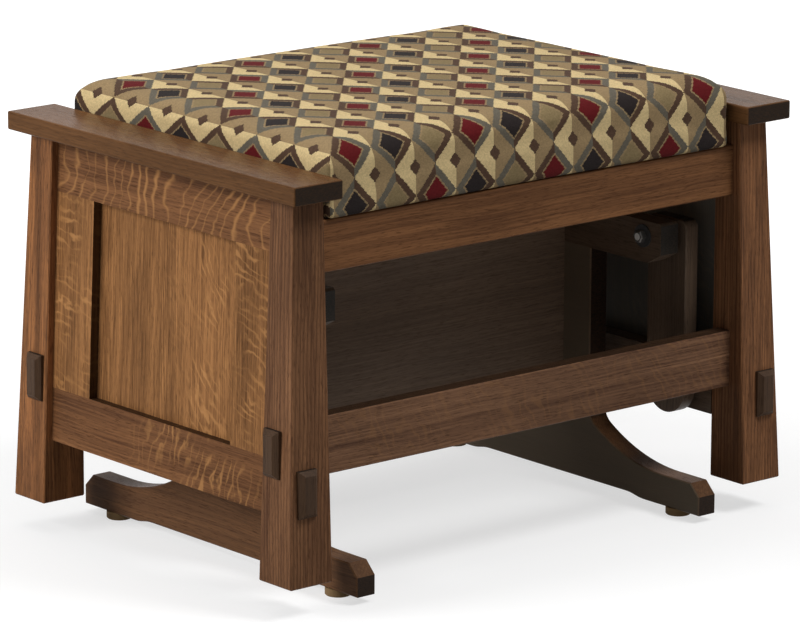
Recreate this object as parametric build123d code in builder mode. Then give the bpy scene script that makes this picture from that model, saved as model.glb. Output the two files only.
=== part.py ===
from build123d import *
import os
from math import atan2, cos, sin

# Glider ottoman. Millimetres, +Z up, origin on the floor under the middle.
# X runs across the width, Y is the way it glides, and the front is -Y.
# The base stands still. Four hanging links carry the seat frame, which swings
# front to back between the two base ends. Pieces are drawn at rest, on the right
# or at the front right, and mirrored where the object has them in pairs or fours.

# ---- driving dimensions ----------------------------------------------------------

# Seat frame
leg_lift = 34.0              # floor to the underside of a leg
leg_height = 400.0
leg_gap_x = 576.0            # between the inner faces of left and right legs
leg_gap_y = 367.0            # between the inner faces of front and back legs
leg_top_x = 39.0             # the two outer faces flare out going down
leg_top_y = 37.0
leg_foot_x = 55.0
leg_foot_y = 52.5
cap_width = 63.0
cap_over_x = 15.5            # past the tops of the legs
cap_over_y = 21.0
cap_thickness = 20.0
board = 20.0                 # thickness of every rail and stile
side_reveal = 9.0            # leg face to side frame face
rail_reveal = 9.5            # face of a leg's top to the face of an apron

apron_drop = 27.0            # underside of the caps to the top of an apron
apron_height = 55.0
side_top_rail_height = 60.0
lower_rail_low = 140.0       # heights above the floor
lower_rail_high = 202.0
side_rail_low = 103.0
side_rail_high = 161.0
stile_width = 64.0

panel_thickness = 6.0
panel_recess = 10.5          # frame face to panel face
groove_depth = 8.0
panel_play = 1.0             # panel edge to groove bottom

tenon_length = 14.0
tenon_thickness = 10.0
tenon_shoulder = 8.0         # step above and below a tenon

plug_width = 24.0            # proud end blocks let into the legs
plug_height = 50.0
plug_depth = 10.0
plug_proud = 8.0
plug_bevel = 5.0

bearer_thickness = 22.0      # glide bearers, behind the side bottom rails
deck_thickness = 12.0
deck_play = 1.0
cleat_size = 18.0
cleat_inset = 38.0           # leg to the end of a cleat
cleat_chamfer = 6.0
dowel_diameter = 10.0
cap_dowel_depth = 14.0       # into the cap, and as far again into the leg
cap_dowel_in_x = 20.0        # from the inner faces of a leg to its dowel
cap_dowel_in_y = 25.0

# Cushion
cushion_clear = 0.5          # to each cap
cushion_past_rail = 7.0      # front and back, past the aprons' faces
cushion_height = 78.5        # deck to the middle of the crown
cushion_corner = 16.0
cushion_roll = 14.0          # rounding of the top edge
cushion_under_roll = 4.0
cushion_draw_in = 3.0        # sides pull in between the corners
crown_drop = 5.0             # middle to corner

# Base
base_thickness = 25.0
pad_height = 8.5
pad_diameter = 28.0
pad_inset = 45.0             # end of a foot to the middle of its pad
foot_half_length = 231.0
toe_height = 34.5
toe_chamfer = 13.5
toe_flat = 55.0              # end of a foot to where it starts to sweep up
sweep_rise = 39.0            # toe top to where the sweep meets the waist
sweep_fillet = 22.0
foot_relief = 3.5            # hollow under the foot
relief_from = 112.0
relief_to = 145.0
waist_half = 53.0
hanger_height = 46.0
hanger_half_length = 165.0
hanger_clip_y = 21.0         # clipped lower corners of a hanger rail
hanger_clip_z = 11.5
hanger_top_ease = 2.4
stretcher_low = 95.0
stretcher_drop = 20.0        # top of a hanger rail to the top of the stretcher
housing_depth = 5.0          # dado that holds each end of the stretcher
hanger_dowel_place = 32.0
hanger_dowel_reach = 24.0
stretcher_screw_spacing = 65.0
stretcher_screw_rise = 25.0  # underside of the stretcher to its lowest screws
stretcher_screw_diameter = 6.0
stretcher_screw_head = 11.0
stretcher_screw_length = 60.0
screw_head_depth = 3.0

# Glide linkage
pivot_place = 137.0          # middle to a pivot, along Y
pivot_sink = 1.0             # below the middle of a glide bearer
link_reach = 172.0           # between a link's two pivots
link_over = 16.0             # wood above the upper pivot
hanger_over = 17.0
link_thickness = 18.0
link_width = 61.0
upper_gap = 10.0             # base end to link
lower_gap = 8.0              # link to glide bearer
link_corner = 10.0
bolt_diameter = 8.0
bolt_head_width = 13.0
bolt_head_height = 5.3
bearing_diameter = 22.0
bearing_width = 7.0
bearing_race = 3.5           # width of each ring's face
shield_recess = 0.5
link_bolt_hole = 14.0
spacer_diameter = 14.0
washer_diameter = 25.0
washer_thickness = 2.0
nut_width = 13.0
nut_height = 7.0
insert_diameter = 12.0
insert_length = 18.0
running_fit = 0.05           # radial, bolt in bearing
seat_fit = 0.05              # radial, bearing in link
side_play = 0.3              # between turning and still faces
head_play = 0.5              # bolt head to link
edge_ease = 1.2              # small chamfer on wooden edges
cap_ease = 2.0

# ---- values worked out from them ----------------------------------------------------

leg_top = leg_lift + leg_height
inner_x = leg_gap_x / 2
inner_y = leg_gap_y / 2
side_lean = atan2(leg_foot_x - leg_top_x, leg_height)
rail_setback = inner_y + leg_top_y - rail_reveal
rail_inner = rail_setback - board
toe_top = pad_height + toe_height
toe_flat_from = foot_half_length - toe_flat
pad_place = foot_half_length - pad_inset
pivot_low = (side_rail_low + side_rail_high) / 2 - pivot_sink
pivot_high = pivot_low + link_reach
hanger_high = pivot_high + hanger_over
hanger_low = hanger_high - hanger_height
stretcher_high = hanger_high - stretcher_drop
stretcher_screw_heights = [stretcher_low + stretcher_screw_rise + n * stretcher_screw_spacing
                           for n in range(3)]
cap_outer = inner_x + leg_top_x + cap_over_x
cap_inner = cap_outer - cap_width
cap_half_length = inner_y + leg_top_y + cap_over_y
apron_high = leg_top - apron_drop
apron_low = apron_high - apron_height
side_top_rail_low = leg_top - side_top_rail_height

# The right side frame lies parallel to the flared outer faces of its legs.
# Here x is the world's Y and y climbs the slope from the leg's underside.
side_plane = Plane(
    origin=(inner_x + leg_foot_x - side_reveal / cos(side_lean), 0, leg_lift),
    x_dir=(0, 1, 0),
    z_dir=(cos(side_lean), 0, sin(side_lean)),
)


def slope(height):
    """Distance up the side frame's slope to a height above the floor."""
    return (height - leg_lift) / cos(side_lean)


def leg_face_x(height):
    """Outer face of a leg, left or right of the middle, at a height."""
    return inner_x + leg_foot_x - (height - leg_lift) * (leg_foot_x - leg_top_x) / leg_height


def leg_face_y(height):
    """Outer face of a leg, in front of or behind the middle, at a height."""
    return inner_y + leg_foot_y - (height - leg_lift) * (leg_foot_y - leg_top_y) / leg_height


def side_slab(half_length, low, high, depth, thickness, mode=Mode.ADD):
    """Board in the side frame, from `depth` under its face, between two heights."""
    with BuildSketch(side_plane.offset(-depth)) as face:
        with Locations((0, (slope(low) + slope(high)) / 2)):
            Rectangle(2 * half_length, slope(high) - slope(low))
    extrude(face.sketch, amount=-thickness, mode=mode)


def save(solid, name):
    """Label a finished piece and write it."""
    solid.label = name
    export_step(solid, f"parts/{name}.step")


def save_sides(piece, name):
    """Write a right-hand piece and its left-hand mirror image."""
    save(piece.part, f"{name}_right")
    save(mirror(piece.part, about=Plane.YZ), f"{name}_left")


def save_ends(piece, name):
    """Write a front piece and its mirror image at the back."""
    save(piece.part, f"{name}_front")
    save(mirror(piece.part, about=Plane.XZ), f"{name}_back")


def save_corners(piece, name):
    """Write a front right piece and its three mirror images."""
    back = mirror(piece.part, about=Plane.XZ)
    save(mirror(piece.part, about=Plane.YZ), f"{name}_front_left")
    save(mirror(back, about=Plane.YZ), f"{name}_back_left")
    save(back, f"{name}_back_right")
    save(piece.part, f"{name}_front_right")


os.makedirs("parts", exist_ok=True)

# ---- seat frame: legs -----------------------------------------------------------------

tenon_cheek = (board - tenon_thickness) / 2
rail_tenon_y = -rail_setback + tenon_cheek
side_tenon_reach = inner_y + tenon_length
lower_rail_middle = (lower_rail_low + lower_rail_high) / 2
side_rail_middle = (side_rail_low + side_rail_high) / 2
rail_middle_y = rail_setback - board / 2
side_middle_x = leg_face_x(side_rail_middle) - side_reveal - board / 2
plug_size = plug_depth + plug_proud

# From the side bottom rails inwards: glide bearer, link, base end
bearer_face = side_middle_x - board / 2 - bearer_thickness
link_outer = bearer_face - lower_gap
link_inner = link_outer - link_thickness
base_outer = link_inner - upper_gap
base_inner = base_outer - base_thickness

with BuildPart() as leg:
    with BuildSketch(Plane.XY.offset(leg_lift)):
        with Locations((inner_x, -inner_y)):
            Rectangle(leg_foot_x, leg_foot_y, align=(Align.MIN, Align.MAX))
    with BuildSketch(Plane.XY.offset(leg_top)):
        with Locations((inner_x, -inner_y)):
            Rectangle(leg_top_x, leg_top_y, align=(Align.MIN, Align.MAX))
    loft()
    chamfer(leg.edges() - leg.faces().filter_by(Axis.Z).edges(), length=edge_ease)
    chamfer(leg.faces().sort_by(Axis.Z)[0].edges(), length=edge_ease)
    # Mortises for the apron, the lower rail and the two side rails
    for low, high in ((apron_low, apron_high), (lower_rail_low, lower_rail_high)):
        with BuildSketch(Plane.YZ.offset(inner_x)):
            with Locations((rail_tenon_y + tenon_thickness / 2, (low + high) / 2)):
                Rectangle(tenon_thickness, high - low - 2 * tenon_shoulder)
        extrude(amount=tenon_length, mode=Mode.SUBTRACT)
    for low, high in ((side_top_rail_low, leg_top), (side_rail_low, side_rail_high)):
        side_slab(side_tenon_reach, low + tenon_shoulder, high - tenon_shoulder,
                  tenon_cheek, tenon_thickness, mode=Mode.SUBTRACT)
    # Recesses for the proud end blocks, one on each outer face
    with Locations((leg_face_x(lower_rail_middle) - plug_depth, -rail_middle_y, lower_rail_middle)):
        Box(leg_foot_x, plug_width, plug_height, align=(Align.MIN, Align.CENTER, Align.CENTER),
            mode=Mode.SUBTRACT)
    with Locations((side_middle_x, -leg_face_y(side_rail_middle) + plug_depth, side_rail_middle)):
        Box(plug_width, leg_foot_y, plug_height, align=(Align.CENTER, Align.MAX, Align.CENTER),
            mode=Mode.SUBTRACT)
    with Locations((inner_x + cap_dowel_in_x, -inner_y - cap_dowel_in_y, leg_top)):
        Cylinder(dowel_diameter / 2, cap_dowel_depth, align=(Align.CENTER, Align.CENTER, Align.MAX),
                 mode=Mode.SUBTRACT)
save_corners(leg, "leg")

with BuildPart() as side_plug:
    with Locations((leg_face_x(lower_rail_middle) - plug_depth, -rail_middle_y, lower_rail_middle)):
        Box(plug_size, plug_width, plug_height, align=(Align.MIN, Align.CENTER, Align.CENTER))
    chamfer(side_plug.faces().sort_by(Axis.X)[-1].edges(), length=plug_bevel)
    mirror(about=Plane.XZ)
    mirror(about=Plane.YZ)
save(side_plug.part, "tenon_plugs_side")

with BuildPart() as end_plug:
    with Locations((side_middle_x, -leg_face_y(side_rail_middle) + plug_depth, side_rail_middle)):
        Box(plug_width, plug_size, plug_height, align=(Align.CENTER, Align.MAX, Align.CENTER))
    chamfer(end_plug.faces().sort_by(Axis.Y)[0].edges(), length=plug_bevel)
    mirror(about=Plane.XZ)
    mirror(about=Plane.YZ)
save(end_plug.part, "tenon_plugs_end")

# ---- seat frame: front and back rails ----------------------------------------------------


def front_rail(low, high):
    """Rail between the front legs, with a stub tenon at each end."""
    with BuildPart() as rail:
        with BuildSketch(Plane.XZ.offset(rail_inner)):
            with Locations((0, (low + high) / 2)):
                Rectangle(leg_gap_x, high - low)
        extrude(amount=board)
        long_edges = rail.edges().filter_by(Axis.X)
        chamfer(long_edges, length=edge_ease)
        with BuildSketch(Plane.XZ.offset(rail_inner + tenon_cheek)):
            with Locations((0, (low + high) / 2)):
                Rectangle(leg_gap_x + 2 * tenon_length, high - low - 2 * tenon_shoulder)
        extrude(amount=tenon_thickness)
    return rail


save_ends(front_rail(apron_low, apron_high), "apron")
save_ends(front_rail(lower_rail_low, lower_rail_high), "lower_rail")

# ---- seat frame: framed and panelled sides -------------------------------------------------

stile_edge = inner_y - stile_width       # middle to the panel side of a stile

with BuildPart() as side_top_rail:
    side_slab(inner_y, side_top_rail_low, leg_top + board, 0, board)
    split(bisect_by=Plane.XY.offset(leg_top), keep=Keep.BOTTOM)
    side_slab(side_tenon_reach, side_top_rail_low + tenon_shoulder, leg_top - tenon_shoulder,
              tenon_cheek, tenon_thickness)
    side_slab(inner_y, side_top_rail_low, side_top_rail_low + groove_depth,
              panel_recess, panel_thickness, mode=Mode.SUBTRACT)
save_sides(side_top_rail, "side_top_rail")

with BuildPart() as side_rail:
    side_slab(inner_y, side_rail_low, side_rail_high, 0, board)
    chamfer(side_rail.edges().filter_by(Axis.Y).group_by(Axis.Z)[0], length=edge_ease)
    side_slab(side_tenon_reach, side_rail_low + tenon_shoulder, side_rail_high - tenon_shoulder,
              tenon_cheek, tenon_thickness)
    side_slab(inner_y, side_rail_high - groove_depth, side_rail_high,
              panel_recess, panel_thickness, mode=Mode.SUBTRACT)
save_sides(side_rail, "side_bottom_rail")

stile_low = slope(side_rail_high)
stile_high = slope(side_top_rail_low)
stile_middle = (stile_low + stile_high) / 2
stile_y = (inner_y + stile_edge) / 2

with BuildPart() as stile:
    with BuildSketch(side_plane):
        with Locations((-stile_y, stile_middle)):
            Rectangle(stile_width, stile_high - stile_low)
    extrude(amount=-board)
    # Tongues that fill the rails' grooves, and the groove for the panel
    with BuildSketch(side_plane.offset(-panel_recess)):
        with Locations((-stile_y, stile_middle)):
            Rectangle(stile_width, stile_high - stile_low + 2 * groove_depth)
    extrude(amount=-panel_thickness)
    with BuildSketch(side_plane.offset(-panel_recess)):
        with Locations((-stile_edge - groove_depth / 2, stile_middle)):
            Rectangle(groove_depth, stile_high - stile_low + 2 * groove_depth)
    extrude(amount=-panel_thickness, mode=Mode.SUBTRACT)
save_corners(stile, "stile")

with BuildPart() as side_panel:
    side_slab(stile_edge + groove_depth - panel_play, side_rail_high - groove_depth + panel_play,
              side_top_rail_low + groove_depth - panel_play, panel_recess, panel_thickness)
save_sides(side_panel, "side_panel")

# ---- seat frame: caps, deck and glide bearers -----------------------------------------------

with BuildPart() as cap:
    with Locations((cap_outer, 0, leg_top)):
        Box(cap_width, 2 * cap_half_length, cap_thickness,
            align=(Align.MAX, Align.CENTER, Align.MIN))
    fillet(cap.edges(), radius=cap_ease)
    with Locations(*[(inner_x + cap_dowel_in_x, y, leg_top)
                     for y in (-inner_y - cap_dowel_in_y, inner_y + cap_dowel_in_y)]):
        Cylinder(dowel_diameter / 2, cap_dowel_depth, align=(Align.CENTER, Align.CENTER, Align.MIN),
                 mode=Mode.SUBTRACT)
save_sides(cap, "cap")

with BuildPart() as cap_dowels:
    with Locations((0, 0, leg_top)):
        with GridLocations(leg_gap_x + 2 * cap_dowel_in_x, leg_gap_y + 2 * cap_dowel_in_y, 2, 2):
            Cylinder(dowel_diameter / 2, 2 * cap_dowel_depth)
save(cap_dowels.part, "cap_dowels")

with BuildPart() as deck:
    with Locations((0, 0, apron_high)):
        Box(2 * (inner_x - deck_play), 2 * (rail_inner - deck_play), deck_thickness,
            align=(Align.CENTER, Align.CENTER, Align.MAX))
save(deck.part, "seat_deck")

with BuildPart() as cleat:
    with Locations((0, -rail_inner, apron_high - deck_thickness)):
        Box(leg_gap_x - 2 * cleat_inset, cleat_size, cleat_size, align=(Align.CENTER, Align.MIN, Align.MAX))
    chamfer(cleat.edges().filter_by(Axis.X).sort_by(Axis.Z)[0:2].sort_by(Axis.Y)[-1],
            length=cleat_chamfer)
save_ends(cleat, "deck_cleat")

pivots = ((-pivot_place, pivot_low), (pivot_place, pivot_low))

with BuildPart() as bearer:
    with BuildSketch(Plane.YZ.offset(bearer_face)):
        with Locations((0, side_rail_middle)):
            Rectangle(leg_gap_y, side_rail_high - side_rail_low)
    extrude(amount=bearer_thickness + board)
    split(bisect_by=side_plane.offset(-board), keep=Keep.BOTTOM)
    with BuildSketch(Plane.YZ.offset(bearer_face)):
        with Locations(*pivots):
            Circle(insert_diameter / 2)
    extrude(amount=insert_length, mode=Mode.SUBTRACT)
save_sides(bearer, "glide_bearer")

# ---- cushion ------------------------------------------------------------------------------------

cushion_x = cap_inner - cushion_clear
cushion_y = rail_setback + cushion_past_rail
cushion_top = apron_high + cushion_height
crown_reach = (cushion_x ** 2 + cushion_y ** 2) ** 0.5
crown_radius = (crown_reach ** 2 + crown_drop ** 2) / (2 * crown_drop)

with BuildPart() as cushion:
    with BuildSketch(Plane.XY.offset(apron_high)):
        with BuildLine():
            front_right = (cushion_x, -cushion_y)
            back_right = (cushion_x, cushion_y)
            back_left = (-cushion_x, cushion_y)
            front_left = (-cushion_x, -cushion_y)
            ThreePointArc(front_right, (cushion_x - cushion_draw_in, 0), back_right)
            ThreePointArc(back_right, (0, cushion_y - cushion_draw_in), back_left)
            ThreePointArc(back_left, (cushion_draw_in - cushion_x, 0), front_left)
            ThreePointArc(front_left, (0, cushion_draw_in - cushion_y), front_right)
        make_face()
    extrude(amount=cushion_height)
    with Locations((0, 0, cushion_top - crown_radius)):
        Sphere(crown_radius, mode=Mode.INTERSECT)
    fillet(cushion.edges().filter_by(Axis.Z), radius=cushion_corner)
    fillet(cushion.faces().sort_by(Axis.Z)[-1].edges(), radius=cushion_roll)
    fillet(cushion.faces().sort_by(Axis.Z)[0].edges(), radius=cushion_under_roll)
save(cushion.part, "cushion")

# ---- base: bandsawn ends, hanger rails and stretcher -----------------------------------------------

hanger_dowels_y = (-hanger_dowel_place, hanger_dowel_place)

with BuildPart() as base_end:
    with BuildSketch(Plane.YZ.offset(base_inner)) as outline:
        with BuildLine():
            relief_height = pad_height + foot_relief
            step_middle = (relief_from + relief_to) / 2
            Line((0, relief_height), (relief_from, relief_height))
            Bezier((relief_from, relief_height), (step_middle, relief_height),
                   (step_middle, pad_height), (relief_to, pad_height))
            Polyline((relief_to, pad_height), (foot_half_length, pad_height),
                     (foot_half_length, toe_top - toe_chamfer),
                     (foot_half_length - toe_chamfer, toe_top), (toe_flat_from, toe_top))
            TangentArc((toe_flat_from, toe_top), (waist_half, toe_top + sweep_rise),
                       tangent=(-1, 0))
            Polyline((waist_half, toe_top + sweep_rise), (waist_half, hanger_low), (0, hanger_low))
            mirror(about=Plane.YZ)
        make_face()
        sweep_ends = outline.vertices().filter_by_position(
            Axis.Y, toe_top + sweep_rise - edge_ease, toe_top + sweep_rise + edge_ease)
        fillet(sweep_ends, radius=sweep_fillet)
    extrude(amount=base_thickness)
    end_outlines = base_end.faces().filter_by(Axis.X)
    chamfer(end_outlines.edges() - base_end.faces().sort_by(Axis.Z)[-1].edges(), length=edge_ease)
    # Dado for the stretcher, screw holes into it, and the hanger rail's dowel holes
    with Locations((base_inner, 0, stretcher_low)):
        Box(housing_depth, board, hanger_low - stretcher_low,
            align=(Align.MIN, Align.CENTER, Align.MIN), mode=Mode.SUBTRACT)
    with BuildSketch(Plane.YZ.offset(base_outer)):
        with Locations(*[(0, height) for height in stretcher_screw_heights]):
            Circle(stretcher_screw_diameter / 2)
    extrude(amount=-base_thickness, mode=Mode.SUBTRACT)
    with BuildSketch(Plane.YZ.offset(base_outer)):
        with Locations(*[(0, height) for height in stretcher_screw_heights]):
            Circle(stretcher_screw_head / 2)
    extrude(amount=-screw_head_depth, mode=Mode.SUBTRACT)
    with Locations(*[((base_inner + base_outer) / 2, y, hanger_low) for y in hanger_dowels_y]):
        Cylinder(dowel_diameter / 2, 2 * hanger_dowel_reach, mode=Mode.SUBTRACT)
save_sides(base_end, "base_end")

with BuildPart() as hanger:
    with BuildSketch(Plane.YZ.offset(base_inner)):
        with BuildLine():
            Polyline((0, hanger_low), (hanger_half_length - hanger_clip_y, hanger_low),
                     (hanger_half_length, hanger_low + hanger_clip_z),
                     (hanger_half_length, hanger_high - hanger_top_ease),
                     (hanger_half_length - hanger_top_ease, hanger_high), (0, hanger_high))
            mirror(about=Plane.YZ)
        make_face()
    extrude(amount=base_thickness)
    with Locations((base_inner, 0, hanger_low)):
        Box(housing_depth, board, stretcher_high - hanger_low,
            align=(Align.MIN, Align.CENTER, Align.MIN), mode=Mode.SUBTRACT)
    with BuildSketch(Plane.YZ.offset(base_inner)):
        with Locations((-pivot_place, pivot_high), (pivot_place, pivot_high)):
            Circle(bolt_diameter / 2)
    extrude(amount=base_thickness, mode=Mode.SUBTRACT)
    with Locations(*[((base_inner + base_outer) / 2, y, hanger_low) for y in hanger_dowels_y]):
        Cylinder(dowel_diameter / 2, 2 * hanger_dowel_reach, mode=Mode.SUBTRACT)
save_sides(hanger, "hanger_rail")

with BuildPart() as hanger_dowels:
    with Locations((0, 0, hanger_low)):
        with GridLocations(base_inner + base_outer, 2 * hanger_dowel_place, 2, 2):
            Cylinder(dowel_diameter / 2, 2 * hanger_dowel_reach)
save(hanger_dowels.part, "hanger_dowels")

screw_reach = stretcher_screw_length - (base_thickness - housing_depth)

with BuildPart() as stretcher:
    with BuildSketch(Plane.XY.offset(stretcher_low)):
        Rectangle(2 * (base_inner + housing_depth), board)
    extrude(amount=stretcher_high - stretcher_low)
    for plane, inward in ((Plane.YZ.offset(base_inner + housing_depth), -screw_reach),
                          (Plane.YZ.offset(-base_inner - housing_depth), screw_reach)):
        with BuildSketch(plane):
            with Locations(*[(0, height) for height in stretcher_screw_heights]):
                Circle(stretcher_screw_diameter / 2)
        extrude(amount=inward, mode=Mode.SUBTRACT)
save(stretcher.part, "centre_stretcher")

with BuildPart() as stretcher_screws:
    with BuildSketch(Plane.YZ.offset(base_outer)):
        with Locations(*[(0, height) for height in stretcher_screw_heights]):
            Circle(stretcher_screw_diameter / 2)
    extrude(amount=-stretcher_screw_length)
    with BuildSketch(Plane.YZ.offset(base_outer)):
        with Locations(*[(0, height) for height in stretcher_screw_heights]):
            Circle(stretcher_screw_head / 2)
    extrude(amount=-screw_head_depth)
    mirror(about=Plane.YZ)
save(stretcher_screws.part, "stretcher_screws")

with BuildPart() as pads:
    with GridLocations(base_inner + base_outer, 2 * pad_place, 2, 2):
        Cylinder(pad_diameter / 2, pad_height, align=(Align.CENTER, Align.CENTER, Align.MIN))
    chamfer(pads.faces().filter_by(Axis.Z).group_by(Axis.Z)[0].edges(), length=edge_ease)
save(pads.part, "foot_pads")

# ---- linkage: links, bearings, bolts and spacers ------------------------------------------------------

nut_face = base_inner - washer_thickness
upper_head_face = link_outer + head_play
lower_head_face = link_inner - head_play
insert_end = bearer_face + insert_length
pivot_heights = (pivot_low, pivot_high)


def around(plane, height, thickness, radius, bore=0.0, mode=Mode.ADD):
    """Disc or ring about the front right pivot at a height, from a plane outwards."""
    with BuildSketch(plane) as ring:
        with Locations((-pivot_place, height)):
            Circle(radius)
            if bore:
                Circle(bore, mode=Mode.SUBTRACT)
    extrude(ring.sketch, amount=thickness, mode=mode)


def hexagon_head(plane, height, thickness, width):
    """Hexagonal head or nut on the front right pivot at a height."""
    with BuildSketch(plane) as head:
        with Locations((-pivot_place, height)):
            RegularPolygon(width / 2, 6, major_radius=False)
    extrude(head.sketch, amount=thickness)


with BuildPart() as link:
    with BuildSketch(Plane.YZ.offset(link_inner)) as link_outline:
        with Locations((-pivot_place, pivot_low)):
            Circle(link_width / 2)
            Rectangle(link_width, link_reach + link_over, align=(Align.CENTER, Align.MIN))
        fillet(link_outline.vertices().group_by(Axis.Y)[-1], radius=link_corner)
    extrude(amount=link_thickness)
    chamfer(link.faces().filter_by(Axis.X).edges(), length=edge_ease)
    for height in pivot_heights:
        around(Plane.YZ.offset(link_inner), height, link_thickness, link_bolt_hole / 2,
               mode=Mode.SUBTRACT)
    # Bearing pockets: the upper one faces the hanger rail, the lower one the bearer
    around(Plane.YZ.offset(link_inner), pivot_high, bearing_width,
           bearing_diameter / 2 + seat_fit, mode=Mode.SUBTRACT)
    around(Plane.YZ.offset(link_outer), pivot_low, -bearing_width,
           bearing_diameter / 2 + seat_fit, mode=Mode.SUBTRACT)

with BuildPart() as bearings:
    for plane, height, width in ((Plane.YZ.offset(link_inner), pivot_high, bearing_width),
                                 (Plane.YZ.offset(link_outer), pivot_low, -bearing_width)):
        around(plane, height, width, bearing_diameter / 2, bolt_diameter / 2 + running_fit)
        around(plane, height, shield_recess if width > 0 else -shield_recess,
               bearing_diameter / 2 - bearing_race, bolt_diameter / 2 + bearing_race,
               mode=Mode.SUBTRACT)
save_corners(link, "link")
save_corners(bearings, "link_bearings")


def save_all_pivots(piece, name):
    """Write one node with a piece at each of the four pivots."""
    with BuildPart() as four:
        add(piece.part)
        mirror(about=Plane.XZ)
        mirror(about=Plane.YZ)
    save(four.part, name)


with BuildPart() as upper_bolt:
    around(Plane.YZ.offset(nut_face - nut_height), pivot_high,
           upper_head_face - nut_face + nut_height, bolt_diameter / 2)
    hexagon_head(Plane.YZ.offset(upper_head_face), pivot_high, bolt_head_height, bolt_head_width)
save_all_pivots(upper_bolt, "upper_pivot_bolts")

with BuildPart() as upper_nut:
    hexagon_head(Plane.YZ.offset(nut_face), pivot_high, -nut_height, nut_width)
    chamfer(upper_nut.faces().sort_by(Axis.X)[0].edges(), length=edge_ease)
    around(Plane.YZ.offset(nut_face), pivot_high, -nut_height, bolt_diameter / 2,
           mode=Mode.SUBTRACT)
save_all_pivots(upper_nut, "upper_pivot_nuts")

with BuildPart() as upper_washer:
    around(Plane.YZ.offset(base_inner), pivot_high, -washer_thickness, washer_diameter / 2,
           bolt_diameter / 2)
save_all_pivots(upper_washer, "upper_pivot_washers")

with BuildPart() as upper_spacer:
    around(Plane.YZ.offset(base_outer), pivot_high, link_inner - side_play - base_outer,
           spacer_diameter / 2, bolt_diameter / 2)
save_all_pivots(upper_spacer, "upper_pivot_spacers")

with BuildPart() as lower_bolt:
    around(Plane.YZ.offset(lower_head_face), pivot_low, insert_end - lower_head_face,
           bolt_diameter / 2)
    hexagon_head(Plane.YZ.offset(lower_head_face), pivot_low, -bolt_head_height, bolt_head_width)
save_all_pivots(lower_bolt, "lower_pivot_bolts")

with BuildPart() as lower_spacer:
    around(Plane.YZ.offset(bearer_face), pivot_low, link_outer + side_play - bearer_face,
           spacer_diameter / 2, bolt_diameter / 2)
save_all_pivots(lower_spacer, "lower_pivot_spacers")

with BuildPart() as insert:
    around(Plane.YZ.offset(bearer_face), pivot_low, insert_length, insert_diameter / 2,
           bolt_diameter / 2)
save_all_pivots(insert, "threaded_inserts")
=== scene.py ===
"""Finishes, upholstery and studio for the glider ottoman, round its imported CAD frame."""

import math

import bmesh
import bpy
from bpy.props import FloatProperty, FloatVectorProperty, IntProperty, PointerProperty
from mathutils import Matrix, Vector, noise


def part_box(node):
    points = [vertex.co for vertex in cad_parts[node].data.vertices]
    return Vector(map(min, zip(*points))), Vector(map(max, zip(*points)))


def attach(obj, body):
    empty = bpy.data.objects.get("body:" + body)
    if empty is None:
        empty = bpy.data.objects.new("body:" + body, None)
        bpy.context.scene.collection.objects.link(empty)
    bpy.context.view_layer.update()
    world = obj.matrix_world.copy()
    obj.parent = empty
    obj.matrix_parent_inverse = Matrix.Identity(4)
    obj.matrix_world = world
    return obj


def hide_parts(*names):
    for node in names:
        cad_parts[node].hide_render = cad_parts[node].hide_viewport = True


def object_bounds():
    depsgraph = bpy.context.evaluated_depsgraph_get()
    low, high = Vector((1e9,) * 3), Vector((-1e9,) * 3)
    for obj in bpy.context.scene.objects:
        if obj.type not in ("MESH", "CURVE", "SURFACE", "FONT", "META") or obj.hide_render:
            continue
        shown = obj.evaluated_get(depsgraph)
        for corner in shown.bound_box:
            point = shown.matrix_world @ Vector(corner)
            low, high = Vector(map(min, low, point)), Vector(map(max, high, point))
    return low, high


bl_info = {
    "name": "Glider Ottoman",
    "version": (1, 0, 0),
    "blender": (4, 5, 0),
    "location": "3D Viewport > Sidebar > Ottoman",
    "description": "Finishes, upholsters and lights a quarter-sawn oak glider ottoman",
    "category": "Object",
}

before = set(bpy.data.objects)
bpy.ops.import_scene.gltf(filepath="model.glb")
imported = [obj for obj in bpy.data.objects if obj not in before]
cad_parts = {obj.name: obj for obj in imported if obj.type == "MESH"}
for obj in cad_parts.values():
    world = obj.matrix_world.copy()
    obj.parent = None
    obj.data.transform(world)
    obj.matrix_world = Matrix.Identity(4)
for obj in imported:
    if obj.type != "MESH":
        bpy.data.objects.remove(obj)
cad_low, cad_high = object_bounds()
cushion_low, cushion_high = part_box("cushion")

SIDES = ("left", "right")
ENDS = ("front", "back")
CORNERS = tuple(f"{end}_{side}" for end in ENDS for side in SIDES)


def linear(red, green, blue):
    """A colour picked on screen, as the linear values that Blender's sockets hold."""
    return tuple(
        level / 12.92 if level <= 0.04045 else ((level + 0.055) / 1.055) ** 2.4
        for level in (red / 255, green / 255, blue / 255)
    )


# ---- sizes and colours a user would change ----

COLOUR = {"subtype": "COLOR", "size": 3, "min": 0, "max": 1}
LENGTH = {"subtype": "DISTANCE", "unit": "LENGTH"}
POWER = {"subtype": "POWER", "unit": "POWER"}
ANGLE = {"subtype": "ANGLE", "unit": "ROTATION"}


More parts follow.
